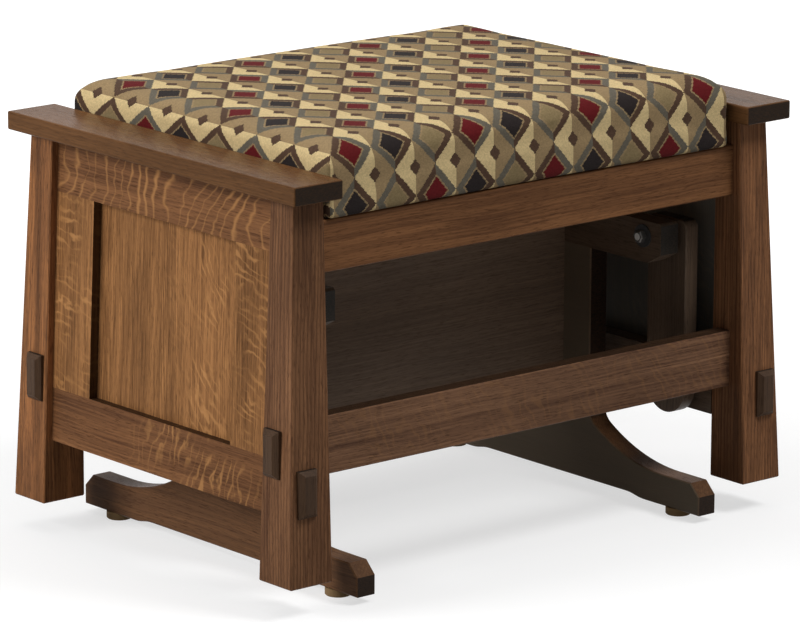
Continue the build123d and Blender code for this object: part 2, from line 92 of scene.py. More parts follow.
class OttomanOak(bpy.types.PropertyGroup):
    """Stain colours of the oak."""

    panel_light: FloatVectorProperty(
        name="Panel Light", description="Early wood of the panels and stiles",
        default=linear(186, 132, 83), **COLOUR)
    panel_dark: FloatVectorProperty(
        name="Panel Dark", description="Late wood of the panels and stiles",
        default=linear(97, 64, 38), **COLOUR)
    rail_light: FloatVectorProperty(
        name="Rail Light", description="Early wood of the rails",
        default=linear(142, 98, 64), **COLOUR)
    rail_dark: FloatVectorProperty(
        name="Rail Dark", description="Late wood of the rails",
        default=linear(86, 56, 37), **COLOUR)
    leg_light: FloatVectorProperty(
        name="Leg Light", description="Early wood of the legs",
        default=linear(139, 99, 69), **COLOUR)
    leg_dark: FloatVectorProperty(
        name="Leg Dark", description="Late wood of the legs",
        default=linear(86, 58, 41), **COLOUR)
    cap_light: FloatVectorProperty(
        name="Cap Light", description="Early wood of the caps",
        default=linear(113, 78, 48), **COLOUR)
    cap_dark: FloatVectorProperty(
        name="Cap Dark", description="Late wood of the caps",
        default=linear(84, 56, 33), **COLOUR)
    base_light: FloatVectorProperty(
        name="Base Light", description="Early wood of the bandsawn ends",
        default=linear(130, 92, 62), **COLOUR)
    base_dark: FloatVectorProperty(
        name="Base Dark", description="Late wood of the bandsawn ends",
        default=linear(94, 65, 45), **COLOUR)
    link_light: FloatVectorProperty(
        name="Link Light", description="Early wood of the links, hangers and stretcher",
        default=linear(116, 96, 79), **COLOUR)
    link_dark: FloatVectorProperty(
        name="Link Dark", description="Late wood of the links, hangers and stretcher",
        default=linear(87, 72, 60), **COLOUR)
    block: FloatVectorProperty(
        name="End Block", description="Stained end grain of the blocks in the legs",
        default=linear(86, 64, 47), **COLOUR)
    fleck: FloatVectorProperty(
        name="Ray Fleck", description="Pale rays that cross the quarter-sawn grain",
        default=linear(176, 127, 79), **COLOUR)
    plain_light: FloatVectorProperty(
        name="Bare Wood Light", description="Unstained wood that isn't seen",
        default=linear(205, 170, 122), **COLOUR)
    plain_dark: FloatVectorProperty(
        name="Bare Wood Dark", description="Grain of the unstained wood",
        default=linear(160, 122, 80), **COLOUR)


class OttomanCloth(bpy.types.PropertyGroup):
    """Colours and repeat of the woven cover."""

    lozenge_width: FloatProperty(
        name="Lozenge Width", description="Repeat of the pattern across the seat",
        default=0.054, **LENGTH)
    lozenge_height: FloatProperty(
        name="Lozenge Height", description="Repeat of the pattern from front to back",
        default=0.060, **LENGTH)
    thread: FloatProperty(
        name="Thread", description="Thickness of the cover's threads",
        default=0.0009, **LENGTH)
    cream: FloatVectorProperty(
        name="Cream", description="Palest yarn", default=linear(211, 187, 138), **COLOUR)
    beige: FloatVectorProperty(
        name="Beige", description="Ground yarn", default=linear(150, 127, 93), **COLOUR)
    taupe: FloatVectorProperty(
        name="Taupe", description="Brown yarn", default=linear(83, 63, 50), **COLOUR)
    grey: FloatVectorProperty(
        name="Grey", description="Grey yarn", default=linear(101, 95, 83), **COLOUR)
    maroon: FloatVectorProperty(
        name="Maroon", description="Red yarn", default=linear(96, 26, 28), **COLOUR)
    black: FloatVectorProperty(
        name="Black", description="Darkest yarn", default=linear(44, 38, 37), **COLOUR)
    khaki: FloatVectorProperty(
        name="Khaki", description="Dull green-brown yarn", default=linear(135, 117, 84),
        **COLOUR)


class OttomanPad(bpy.types.PropertyGroup):
    """How the seat pad is stuffed."""

    inset: FloatProperty(
        name="Inset", description="How much smaller the pad starts before it swells",
        default=0.002, **LENGTH)
    voxel: FloatProperty(
        name="Remesh Size", description="Size of the faces that swell",
        default=0.005, **LENGTH)
    pressure: FloatProperty(
        name="Pressure", description="How hard the foam fills the cover", default=4.0)
    swell: FloatProperty(
        name="Swell Limit", description="Furthest that a point of the cover may move",
        default=0.0015, **LENGTH)
    frames: IntProperty(
        name="Frames", description="Frames of cloth simulation", default=20)
    corner: FloatProperty(
        name="Corner", description="Radius of the upright corners before they are squared",
        default=0.016, **LENGTH)
    roll: FloatProperty(
        name="Edge Roll", description="Radius of the rounded top edge",
        default=0.026, **LENGTH)
    crown: FloatProperty(
        name="Crown", description="Fall of the top from its middle to its corners",
        default=0.005, **LENGTH)
    loft: FloatProperty(
        name="Loft", description="How far the stuffing lifts the middle of the top",
        default=0.0009, **LENGTH)
    rim_loft: FloatProperty(
        name="Rim Loft", description="How much further it lifts the corners",
        default=0.0025, **LENGTH)
    twist: FloatProperty(
        name="Twist", description="How much more it lifts two opposite corners than the others",
        default=0.0017, **LENGTH)
    squareness: FloatProperty(
        name="Corner Squareness",
        description="2 leaves the upright corners round, and more pulls the cover sharper",
        default=14.0)
    pleat: FloatProperty(
        name="Corner Pleat", description="Depth of the fold down each corner",
        default=0.0007, **LENGTH)


class OttomanStage(bpy.types.PropertyGroup):
    """Floor, light and camera."""

    floor: FloatVectorProperty(
        name="Floor", description="Colour of the studio floor",
        default=(0.4, 0.4, 0.4), **COLOUR)
    key_power: FloatProperty(
        name="Key Power", description="Large soft lamp on the left", default=68.0, **POWER)
    fill_power: FloatProperty(
        name="Fill Power", description="Soft lamp high in front", default=82.0, **POWER)
    top_power: FloatProperty(
        name="Top Power", description="Soft lamp overhead", default=20.0, **POWER)
    sky: FloatProperty(
        name="Room Light", description="Even light from all round", default=0.15)
    camera_place: FloatVectorProperty(
        name="Camera Place", description="Where the camera stands",
        subtype="TRANSLATION", unit="LENGTH", size=3, default=(-3.77513, -4.46598, 1.67548))
    heading: FloatProperty(
        name="Heading", description="Turn of the camera from straight ahead",
        default=math.radians(40.205), **ANGLE)
    look_down: FloatProperty(
        name="Look Down", description="Camera's angle below the horizon",
        default=math.radians(13.910), **ANGLE)
    roll: FloatProperty(
        name="Roll", description="Camera's turn about its own view",
        default=math.radians(0.2514), **ANGLE)
    lens: FloatProperty(
        name="Lens", description="Focal length on a 36 mm sensor",
        subtype="DISTANCE_CAMERA", unit="CAMERA", default=252.15)


# ---- node tools ----


def feed(tree, socket, value):
    """Links an output to a socket, or sets a plain value on it."""
    if isinstance(value, bpy.types.NodeSocket):
        tree.links.new(value, socket)
    else:
        socket.default_value = value


def add_node(tree, kind, inputs=None, **settings):
    """A shader node with its settings, and its inputs set or linked."""
    node = tree.nodes.new(kind)
    for name, value in settings.items():
        setattr(node, name, value)
    for name, value in (inputs or {}).items():
        feed(tree, node.inputs[name], value)
    return node


def calc(tree, operation, first, second=0.0, third=0.0, clamp=False):
    """The result of one Math node."""
    return add_node(tree, "ShaderNodeMath", {0: first, 1: second, 2: third},
                    operation=operation, use_clamp=clamp).outputs[0]


def split(tree, vector):
    """The X, Y and Z of a vector."""
    return add_node(tree, "ShaderNodeSeparateXYZ", {0: vector}).outputs


def stretch(tree, vector, scale):
    """A vector scaled axis by axis."""
    return add_node(tree, "ShaderNodeVectorMath", {0: vector, 1: scale},
                    operation="MULTIPLY").outputs[0]


def dim(tree, colour, amount):
    """A colour made darker or lighter all through."""
    return add_node(tree, "ShaderNodeVectorMath", {0: colour, "Scale": amount},
                    operation="SCALE").outputs[0]


def cloud(tree, vector, scale, detail=2.0, roughness=0.5):
    """Noise from 0 to 1, with `scale` blotches to each unit of the vector, axis by axis."""
    return add_node(tree, "ShaderNodeTexNoise",
                    {"Vector": stretch(tree, vector, scale), "Scale": 1.0,
                     "Detail": detail, "Roughness": roughness}).outputs["Fac"]


def ramp(tree, value, low, high, to_low=0.0, to_high=1.0, smooth=False):
    """A value carried from one range to another, and held at its ends."""
    return add_node(tree, "ShaderNodeMapRange",
                    {"Value": value, "From Min": low, "From Max": high,
                     "To Min": to_low, "To Max": to_high},
                    interpolation_type="SMOOTHSTEP" if smooth else "LINEAR").outputs[0]


def off_middle(tree, value):
    """Where a value is between two whole numbers, from -0.5 to 0.5 about their middle."""
    return calc(tree, "SUBTRACT", calc(tree, "FRACT", value), 0.5)


def ribbons(tree, phase, width, spread, least, edge):
    """1 along the middle of each whole step of a phase, and 0 between.

    A ribbon is wide where `width` is high, by `spread` over `least`, and fades across `edge`.
    """
    crest = calc(tree, "ABSOLUTE", off_middle(tree, phase))
    half = calc(tree, "MULTIPLY_ADD", width, spread, least)
    return ramp(tree, calc(tree, "SUBTRACT", crest, half), *edge, 1.0, 0.0, smooth=True)


def mix(tree, amount, first, second, blend="MIX"):
    """Two colours mixed. The numbers are the Mix node's own sockets for colours."""
    return add_node(tree, "ShaderNodeMix", {0: amount, 6: first, 7: second},
                    data_type="RGBA", blend_type=blend).outputs[2]


def rgba(colour):
    """A colour as a socket's four values."""
    return (*colour, 1.0)


def tinted(colour, parts):
    """A colour with its red, green and blue scaled, all alike or each by its own part."""
    if not isinstance(parts, tuple):
        parts = (parts,) * len(colour)
    return [level * part for level, part in zip(colour, parts)]


def new_group(name, inputs, outputs):
    """An empty node group with named sockets, and its input and output nodes."""
    tree = bpy.data.node_groups.new(name, "ShaderNodeTree")
    for in_out, sockets in (("INPUT", inputs), ("OUTPUT", outputs)):
        for socket, kind in sockets.items():
            tree.interface.new_socket(name=socket, in_out=in_out,
                                      socket_type=f"NodeSocket{kind}")
    given, result = tree.nodes.new("NodeGroupInput"), tree.nodes.new("NodeGroupOutput")
    return tree, given.outputs, result.inputs


def new_material(name):
    """A material with a Principled surface, its node tree and that shader."""
    material = bpy.data.materials.new(name)
    material.use_nodes = True
    tree = material.node_tree
    return material, tree, tree.nodes["Principled BSDF"]


def bump(tree, shader, height, strength, distance):
    """Relief on a shader."""
    node = add_node(tree, "ShaderNodeBump",
                    {"Height": height, "Strength": strength, "Distance": distance})
    tree.links.new(node.outputs[0], shader.inputs["Normal"])


# ---- shared effects ----

# Blotches of noise to a metre, along the grain and twice across it
WANDER_SCALE = (5, 16, 16)
BAND_SCALE = (1.5, 70, 70)
LINE_SCALE = (5, 400, 400)
CROWD_SCALE = (1.2, 28, 28)
PORE_SCALE = (75, 1500, 1500)
BEND_SCALE = (7, 11, 11)
SHIVER_SCALE = (34, 52, 52)
REACH_SCALE = (24, 16, 16)
SWEEP_SCALE = (14, 20, 1)
QUIVER_SCALE = (58, 90, 1)
WIDTH_SCALE = (44, 60, 1)
PATCH_SCALE = (16, 24, 24)
BOARD_SCALE = (4, 9, 9)
END_RING_SCALE = (30, 330, 900)

WANDER = 0.010          # metres that the growth lines wander
CROWDING = 0.02         # metres that the yearly rings crowd together
FLAME_RAYS = (58, 26)   # long rays to a metre, along the grain and across it
WAVY_RAYS = 88          # short wavy rays to a metre

# Pore stain, and painted shade in recesses, on the toes and on the faces that look inside,
# with how much of the wood's own colour each one hides
PORE_STAIN, PORE_COVER = (0.42, 0.38, 0.36), 0.55
RECESS_SHADE, RECESS_SHADE_COVER = (0.008, 0.005, 0.003), 0.8
TOE_SHADE, TOE_SHADE_COVER = (0.018, 0.015, 0.013), 0.3
PANEL_INSIDE_SHADE, BASE_INSIDE_SHADE, INSIDE_SHADE_COVER = (0.13, 0.13, 0.115), (0.145, 0.118, 0.085), 0.85
END_GRAIN = (0.004, 0.008, 0.009)

OIL_SHINE = 0.03        # specular level of plain oiled oak
GRAIN_DEPTH = 0.0003    # metres from the top of the grain to the bottom of a pore

# Turns that bring the grain of a piece along X, from each of its own axes
TURNS = {
    "X": (0.0, 0.0, 0.0),
    "Y": (0.0, 0.0, -math.pi / 2),
    "Z": (0.0, math.pi / 2, 0.0),
}


def oak_figure():
    """Quarter-sawn oak with its grain along X: growth lines, open pores, rays and end grain."""
    if "Oak Figure" in bpy.data.node_groups:
        return bpy.data.node_groups["Oak Figure"]
    tree, given, result = new_group(
        "Oak Figure",
        {"Vector": "Vector", "Normal": "Vector", "Light": "Color", "Dark": "Color",
         "Fleck": "Color", "Rings": "Float", "Stripe": "Float", "Flame": "Float",
         "Blotch": "Float", "Slant": "Float"},
        {"Color": "Color", "Roughness": "Float", "Height": "Float"})
    place = given["Vector"]
    along, up, out = split(tree, place)
    across = calc(tree, "ADD", up, out)

    # Growth lines, wandering a little along the board
    wander = cloud(tree, place, WANDER_SCALE)
    drift = add_node(tree, "ShaderNodeCombineXYZ", {
        "X": along,
        "Y": calc(tree, "MULTIPLY_ADD", wander, WANDER, up),
        "Z": calc(tree, "MULTIPLY_ADD", wander, WANDER, out)}).outputs[0]
    bands = cloud(tree, drift, BAND_SCALE, detail=4, roughness=0.6)
    lines = cloud(tree, drift, LINE_SCALE)
    grain = calc(tree, "ADD", calc(tree, "MULTIPLY_ADD", bands, 1.3, -0.42),
                 calc(tree, "MULTIPLY_ADD", lines, 1.4, -0.47), clamp=True)
    colour = mix(tree, grain, given["Dark"], given["Light"])

    # Yearly rings: a ragged dark line of pores beside each pale band
    crowd = cloud(tree, place, CROWD_SCALE, detail=1)
    year = calc(tree, "MULTIPLY", given["Rings"], calc(
        tree, "ADD", calc(tree, "MULTIPLY_ADD", wander, WANDER, across),
        calc(tree, "MULTIPLY", crowd, CROWDING)))
    early = ramp(tree, calc(tree, "ABSOLUTE", off_middle(tree, year)), 0.20, 0.46, smooth=True)
    ragged = calc(tree, "MULTIPLY", early, ramp(tree, lines, 0.25, 0.65, 0.45, 1.0))
    stained = mix(tree, 1.0, given["Dark"], rgba(PORE_STAIN), blend="MULTIPLY")
    colour = mix(tree, calc(tree, "MULTIPLY", ragged, given["Stripe"]), colour, stained)

    # Open pores: short dark dashes along the grain
    pores = ramp(tree, cloud(tree, drift, PORE_SCALE, detail=1), 0.56, 0.68)
    colour = mix(tree, calc(tree, "MULTIPLY", pores, PORE_COVER), colour, stained)

    # Flame: long pale rays that sweep across the grain
    bend = cloud(tree, place, BEND_SCALE, detail=1)
    shiver = cloud(tree, place, SHIVER_SCALE, detail=1)
    phase = calc(tree, "ADD",
                 calc(tree, "MULTIPLY_ADD", along, FLAME_RAYS[0],
                      calc(tree, "MULTIPLY", across, FLAME_RAYS[1])),
                 calc(tree, "MULTIPLY_ADD", bend, 5.5, calc(tree, "MULTIPLY", shiver, 1.3)))
    reach = cloud(tree, place, REACH_SCALE)
    sweeping = ribbons(tree, phase, reach, 0.5, -0.20, (-0.14, 0.16))
    flame = calc(tree, "MULTIPLY", sweeping, given["Flame"])

    # Blotches: soft wavy rays in patches, leaning from the grain by the slant
    leaning = add_node(tree, "ShaderNodeVectorRotate", {
        "Vector": add_node(tree, "ShaderNodeCombineXYZ", {"X": along, "Y": across}).outputs[0],
        "Angle": given["Slant"]}, rotation_type="Z_AXIS").outputs[0]
    sweep = cloud(tree, leaning, SWEEP_SCALE, detail=1)
    quiver = cloud(tree, leaning, QUIVER_SCALE)
    waves = calc(tree, "MULTIPLY_ADD", split(tree, leaning)[1], WAVY_RAYS,
                 calc(tree, "MULTIPLY_ADD", sweep, 5.0, calc(tree, "MULTIPLY", quiver, 1.5)))
    width = cloud(tree, leaning, WIDTH_SCALE)
    wavy = ribbons(tree, waves, width, 0.7, -0.24, (-0.16, 0.14))
    patch = ramp(tree, cloud(tree, place, PATCH_SCALE, detail=1), 0.36, 0.56)
    blotch = calc(tree, "MULTIPLY", calc(tree, "MULTIPLY", patch, wavy), given["Blotch"])
    rays = calc(tree, "MAXIMUM", flame, blotch)
    colour = mix(tree, rays, colour, given["Fleck"])

    # Boards differ a little from end to end
    colour = dim(tree, colour, ramp(
        tree, cloud(tree, place, BOARD_SCALE, detail=1), 0.3, 0.7, 0.84, 1.1))

    # End grain drinks more stain
    ends = ramp(tree, calc(tree, "ABSOLUTE", split(tree, given["Normal"])[0]), 0.80, 0.94)
    rings = ramp(tree, cloud(tree, place, END_RING_SCALE), 0.3, 0.7, 0.16, 0.40)
    colour = mix(tree, ends, colour, mix(tree, rings, rgba(END_GRAIN), given["Dark"]))

    # Pores are rough and deep, and rays are smooth
    tree.links.new(colour, result["Color"])
    tree.links.new(calc(tree, "ADD", calc(tree, "MULTIPLY_ADD", pores, 0.20, 0.36),
                        calc(tree, "MULTIPLY", rays, -0.07)), result["Roughness"])
    tree.links.new(calc(tree, "SUBTRACT", calc(tree, "MULTIPLY", lines, 0.25), pores),
                   result["Height"])
    return tree


def oak(name, grain, light, dark, start, rings=300.0, stripe=0.15, flame=0.0, blotch=0.0,
        slant=0.0, front=None, recess_shade_axis=None, toe_shade_span=None, inside_shade=None, gloss=0.0, polish=0.0):
    """Oiled oak with its grain along one axis, cut from its own place in the log.

    With `front`, the blotches fade in between those two places along Y. With
    `recess_shade_axis`, the faces that look along that axis get painted shade, darkened where
    shade falls in the recesses of the frame.
    With `toe_shade_span`, painted shade darkens the wood between those two distances from the
    middle along Y, and `inside_shade` is the colour of the painted shade on the faces that look
    into the ottoman.
    `gloss` strengthens the finish's reflection and `polish` sharpens it.
    """
    material, tree, shader = new_material(name)
    source = add_node(tree, "ShaderNodeTexCoord").outputs
    place = add_node(tree, "ShaderNodeMapping",
                     {"Vector": source["Object"], "Rotation": TURNS[grain],
                      "Location": (start, start * 1.7, start * 0.6)}).outputs[0]
    facing = add_node(tree, "ShaderNodeMapping",
                      {"Vector": source["Normal"], "Rotation": TURNS[grain]},
                      vector_type="VECTOR").outputs[0]
    if front:
        blotch = ramp(tree, split(tree, source["Object"])["Y"], *front, 0.0, blotch)
    figure = add_node(tree, "ShaderNodeGroup", {
        "Vector": place, "Normal": facing, "Light": rgba(light), "Dark": rgba(dark),
        "Fleck": rgba(bpy.context.scene.ottoman_oak.fleck), "Rings": rings, "Stripe": stripe,
        "Flame": flame, "Blotch": blotch, "Slant": slant}, node_tree=oak_figure()).outputs
    colour = figure["Color"]
    # Painted shade in the recesses: faces that look along the axis are darkened
    if recess_shade_axis:
        edge = calc(tree, "ABSOLUTE", split(tree, source["Normal"])[recess_shade_axis])
        painted_recess_shade = ramp(tree, edge, 0.7, 0.9, 0.0, RECESS_SHADE_COVER)
        colour = mix(tree, painted_recess_shade, colour, rgba(RECESS_SHADE))
    # Painted shade on the toes, darkening the wood further out along Y
    if toe_shade_span:
        away = calc(tree, "ABSOLUTE", split(tree, source["Object"])["Y"])
        painted_toe_shade = ramp(tree, away, *toe_shade_span, 0.0, TOE_SHADE_COVER, smooth=True)
        colour = mix(tree, painted_toe_shade, colour, rgba(TOE_SHADE))
    # Painted shade on the faces that look into the ottoman
    if inside_shade:
        side, look = (split(tree, source[space])["X"] for space in ("Object", "Normal"))
        outward = calc(tree, "MULTIPLY", side, look)
        colour = mix(tree, ramp(tree, outward, -0.20, -0.10, INSIDE_SHADE_COVER, 0.0), colour,
                     rgba(inside_shade))
    tree.links.new(colour, shader.inputs["Base Color"])
    tree.links.new(calc(tree, "MULTIPLY", figure["Roughness"], 1.0 - polish),
                   shader.inputs["Roughness"])
    shader.inputs["Specular IOR Level"].default_value = OIL_SHINE + gloss
    bump(tree, shader, figure["Height"], 0.35, GRAIN_DEPTH)
    return material


def metal(name, colour, roughness):
    """Plated steel or brass with faint handling marks."""
    material, tree, shader = new_material(name)
    place = add_node(tree, "ShaderNodeTexCoord").outputs["Object"]
    marks = cloud(tree, place, (260, 900, 900), detail=3)
    soot = ramp(tree, cloud(tree, place, (70, 70, 70)), 0.35, 0.75, 0.0, 0.5)
    tree.links.new(mix(tree, soot, rgba(colour), rgba(tinted(colour, 0.55))),
                   shader.inputs["Base Color"])
    tree.links.new(ramp(tree, marks, 0.3, 0.7, roughness - 0.06, roughness + 0.1),
                   shader.inputs["Roughness"])
    shader.inputs["Metallic"].default_value = 1.0
    bump(tree, shader, marks, 0.2, 0.0001)
    return material


def moulded(name, colour, roughness):
    """Plain plastic or fibre with a fine grain."""
    material, tree, shader = new_material(name)
    place = add_node(tree, "ShaderNodeTexCoord").outputs["Object"]
    speckle = cloud(tree, place, (900, 900, 900))
    tree.links.new(mix(tree, speckle, rgba(tinted(colour, 0.8)), rgba(colour)),
                   shader.inputs["Base Color"])
    tree.links.new(ramp(tree, speckle, 0.3, 0.7, roughness - 0.08, roughness + 0.08),
                   shader.inputs["Roughness"])
    bump(tree, shader, speckle, 0.25, 0.0002)
    return material


# Threads to a stitch, across the seat and from front to back
STITCH = (1.6, 1.3)

# Outer edges of a lozenge's parts, where its middle is 0 and its own edge 0.5, and of the
# small heart of the ground, where four lozenges meet
LOZENGE_EDGE = 0.50
RING_EDGE = 0.32
HEART_EDGE = 0.28
GROUND_HEART_EDGE = 0.14


def lozenge_weave():
    """Woven lozenges and the ground between them, from a cover laid flat in metres."""
    tree, given, result = new_group(
        "Lozenge Weave",
        {"Vector": "Vector", "Width": "Float", "Height": "Float", "Thread": "Float"},
        {"Rings": "Float", "Cross": "Float", "Side": "Float", "Turn": "Float",
         "Yarn": "Float", "Relief": "Float"})

    # The pattern changes only from stitch to stitch, and each stitch is a low mound
    stitches, mounds = [], []
    for axis, threads in zip(split(tree, given["Vector"]), STITCH):
        pitch = calc(tree, "MULTIPLY", given["Thread"], threads)
        step = calc(tree, "DIVIDE", axis, pitch)
        stitches.append(calc(tree, "MULTIPLY", pitch, calc(
            tree, "ADD", calc(tree, "FLOOR", step), 0.5)))
        mounds.append(calc(tree, "ABSOLUTE", calc(
            tree, "SINE", calc(tree, "MULTIPLY", step, math.pi))))
    tree.links.new(calc(tree, "MULTIPLY", *mounds), result["Relief"])
    yarn = add_node(tree, "ShaderNodeTexWhiteNoise", {"Vector": add_node(
        tree, "ShaderNodeCombineXYZ", {"X": stitches[0], "Y": stitches[1]}).outputs[0]},
        noise_dimensions="3D").outputs["Value"]
    tree.links.new(yarn, result["Yarn"])

    # How far a stitch is from the middle of its lozenge, and from where four of them meet
    column = calc(tree, "DIVIDE", stitches[0], given["Width"])
    row = calc(tree, "DIVIDE", stitches[1], given["Height"])
    side = off_middle(tree, column)
    tree.links.new(side, result["Side"])
    sideways = calc(tree, "ABSOLUTE", side)
    endways = calc(tree, "ABSOLUTE", off_middle(tree, row))
    tree.links.new(calc(tree, "ADD", sideways, endways), result["Rings"])
    tree.links.new(calc(tree, "ADD", calc(tree, "SUBTRACT", 0.5, sideways),
                        calc(tree, "SUBTRACT", 0.5, endways)), result["Cross"])

    # The hearts take three colours in turn
    count = calc(tree, "ADD", calc(tree, "MULTIPLY", calc(tree, "FLOOR", column), 2.0),
                 calc(tree, "FLOOR", row))
    tree.links.new(calc(tree, "FLOORED_MODULO", count, 3.0), result["Turn"])
    return tree


def cover_cloth():
    """The woven cover: two-tone lozenges with hearts in maroon, khaki and black."""
    cloth = bpy.context.scene.ottoman_cloth
    material, tree, shader = new_material("woven_cover")
    weave = add_node(tree, "ShaderNodeGroup", {
        "Vector": add_node(tree, "ShaderNodeUVMap", uv_map="cover").outputs[0],
        "Width": cloth.lozenge_width, "Height": cloth.lozenge_height,
        "Thread": cloth.thread}, node_tree=lozenge_weave()).outputs

    def within(part, limit):
        return calc(tree, "LESS_THAN", weave[part], limit)

    second, third = (calc(tree, "COMPARE", weave["Turn"], turn, 0.1) for turn in (1.0, 2.0))
    heart = mix(tree, third, mix(tree, second, rgba(cloth.black), rgba(cloth.maroon)),
                rgba(cloth.khaki))
    lit = within("Side", 0.0)
    band = mix(tree, lit, mix(tree, second, rgba(cloth.taupe), rgba(cloth.grey)),
               mix(tree, second, rgba(cloth.grey), rgba(cloth.taupe)))
    colour = mix(tree, lit, rgba(cloth.cream), rgba(cloth.beige))
    for part, limit, yarn in (("Cross", GROUND_HEART_EDGE, rgba(cloth.taupe)),
                              ("Rings", LOZENGE_EDGE, band),
                              ("Rings", RING_EDGE, rgba(cloth.beige)),
                              ("Rings", HEART_EDGE, heart)):
        colour = mix(tree, within(part, limit), colour, yarn)

    # Each stitch has its own shade, the cover is worn in places, and light fails in its pits
    fleck = ramp(tree, weave["Yarn"], 0.0, 1.0, 0.86, 1.1)
    place = add_node(tree, "ShaderNodeTexCoord").outputs["Object"]
    handling = ramp(tree, cloud(tree, place, (18, 18, 18)), 0.3, 0.7, 0.95, 1.03)
    pits = ramp(tree, weave["Relief"], 0.0, 0.5, 0.78, 1.0)
    shade = calc(tree, "MULTIPLY", calc(tree, "MULTIPLY", fleck, handling), pits)
    tree.links.new(dim(tree, colour, shade), shader.inputs["Base Color"])
    shader.inputs["Roughness"].default_value = 0.92
    shader.inputs["Sheen Weight"].default_value = 0.03
    shader.inputs["Specular IOR Level"].default_value = 0.04
    bump(tree, shader, weave["Relief"], 0.6, 0.0004)
    return material


def dress(material, *names):
    """Gives a material to CAD nodes."""
    for name in names:
        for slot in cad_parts[name].material_slots:
            slot.material = material


def each(stem, places):
    """Node names of a piece that is repeated."""
    return [f"{stem}_{place}" for place in places]


# ---- operators: wood ----

# Each leg's place in the log, its rings to a metre, how dark they are, and its own tint
LEGS = {
    "front_left": (0.31, 195, 0.50, (1.00, 1.00, 1.00)),
    "front_right": (0.93, 195, 0.40, (1.40, 1.30, 1.20)),
    "back_left": (0.52, 28, 0.40, (1.85, 1.60, 1.25)),
    "back_right": (0.74, 120, 0.40, (1.25, 1.14, 1.02)),
}
STILE_SHADE = 0.86
LOWER_RAIL_TINT = (1.05, 1.22, 1.6)
BLOCK_GRAIN_SHADE = 0.6
STRETCHER_SHADE = 1.5


class OTTOMAN_OT_legs(bpy.types.Operator):
    """Finish the four flared legs in straight-grained oak"""

    bl_idname = "ottoman.legs"
    bl_label = "Legs"

    def execute(self, context):
        wood = context.scene.ottoman_oak
        for corner, (start, rings, stripe, tint) in LEGS.items():
            dress(oak(f"oak_leg_{corner}", "Z", tinted(wood.leg_light, tint), wood.leg_dark,
                      start, rings=rings, stripe=stripe), f"leg_{corner}")
        return {"FINISHED"}


class OTTOMAN_OT_side_frames(bpy.types.Operator):
    """Finish the framed and panelled sides in figured oak"""

    bl_idname = "ottoman.side_frames"
    bl_label = "Side Frames"

    def execute(self, context):
        wood = context.scene.ottoman_oak
        rail = wood.rail_light, wood.rail_dark
        panel = wood.panel_light, wood.panel_dark
        stile = [tinted(tone, STILE_SHADE) for tone in panel]
        # Painted shade inside, and in the recess on the bottom rails and stiles
        dress(oak("oak_side_top_rails", "Y", *rail, 1.3, flame=0.75, inside_shade=PANEL_INSIDE_SHADE),
              *each("side_top_rail", SIDES))
        dress(oak("oak_side_bottom_rails", "Y", *rail, 2.9, blotch=0.8,
                  slant=math.radians(76), front=(0.06, -0.04), recess_shade_axis="Z",
                  inside_shade=PANEL_INSIDE_SHADE),
              *each("side_bottom_rail", SIDES))
        dress(oak("oak_front_stiles", "Z", *stile, 4.1, stripe=0.3, blotch=0.8,
                  slant=math.radians(-68), recess_shade_axis="Y", inside_shade=PANEL_INSIDE_SHADE),
              *each("stile", each("front", SIDES)))
        dress(oak("oak_back_stiles", "Z", *stile, 4.9, blotch=0.85,
                  slant=math.radians(-78), recess_shade_axis="Y", inside_shade=PANEL_INSIDE_SHADE),
              *each("stile", each("back", SIDES)))
        dress(oak("oak_panels", "Z", *panel, 5.7, rings=420, stripe=0.5, blotch=0.8,
                  slant=math.radians(-40), front=(0.02, -0.06), inside_shade=PANEL_INSIDE_SHADE),
              *each("side_panel", SIDES))
        return {"FINISHED"}


class OTTOMAN_OT_rails(bpy.types.Operator):
    """Finish the front and back rails"""

    bl_idname = "ottoman.rails"
    bl_label = "Front and Back Rails"

    def execute(self, context):
        wood = context.scene.ottoman_oak
        rail = wood.rail_light, wood.rail_dark
        lower = [tinted(tone, LOWER_RAIL_TINT) for tone in rail]
        dress(oak("oak_aprons", "X", *rail, 7.2), *each("apron", ENDS))
        # Painted shade on the lower rails' faces that look up and down
        dress(oak("oak_lower_rails", "X", *lower, 8.8, blotch=0.14, slant=math.radians(60),
                  recess_shade_axis="Z"), *each("lower_rail", ENDS))
        return {"FINISHED"}


class OTTOMAN_OT_caps(bpy.types.Operator):
    """Finish the caps over the sides"""

    bl_idname = "ottoman.caps"
    bl_label = "Caps"

    def execute(self, context):
        wood = context.scene.ottoman_oak
        dress(oak("oak_caps", "Y", wood.cap_light, wood.cap_dark, 10.4, polish=0.4),
              *each("cap", SIDES))
        return {"FINISHED"}


class OTTOMAN_OT_end_blocks(bpy.types.Operator):
    """Finish the proud end blocks let into the legs"""

    bl_idname = "ottoman.end_blocks"
    bl_label = "End Blocks"

    def execute(self, context):
        block = context.scene.ottoman_oak.block
        tones = block, tinted(block, BLOCK_GRAIN_SHADE)
        dress(oak("oak_side_blocks", "Z", *tones, 11.6, gloss=0.04), "tenon_plugs_side")
        dress(oak("oak_front_blocks", "Z", *tones, 12.3, gloss=0.04), "tenon_plugs_end")
        return {"FINISHED"}


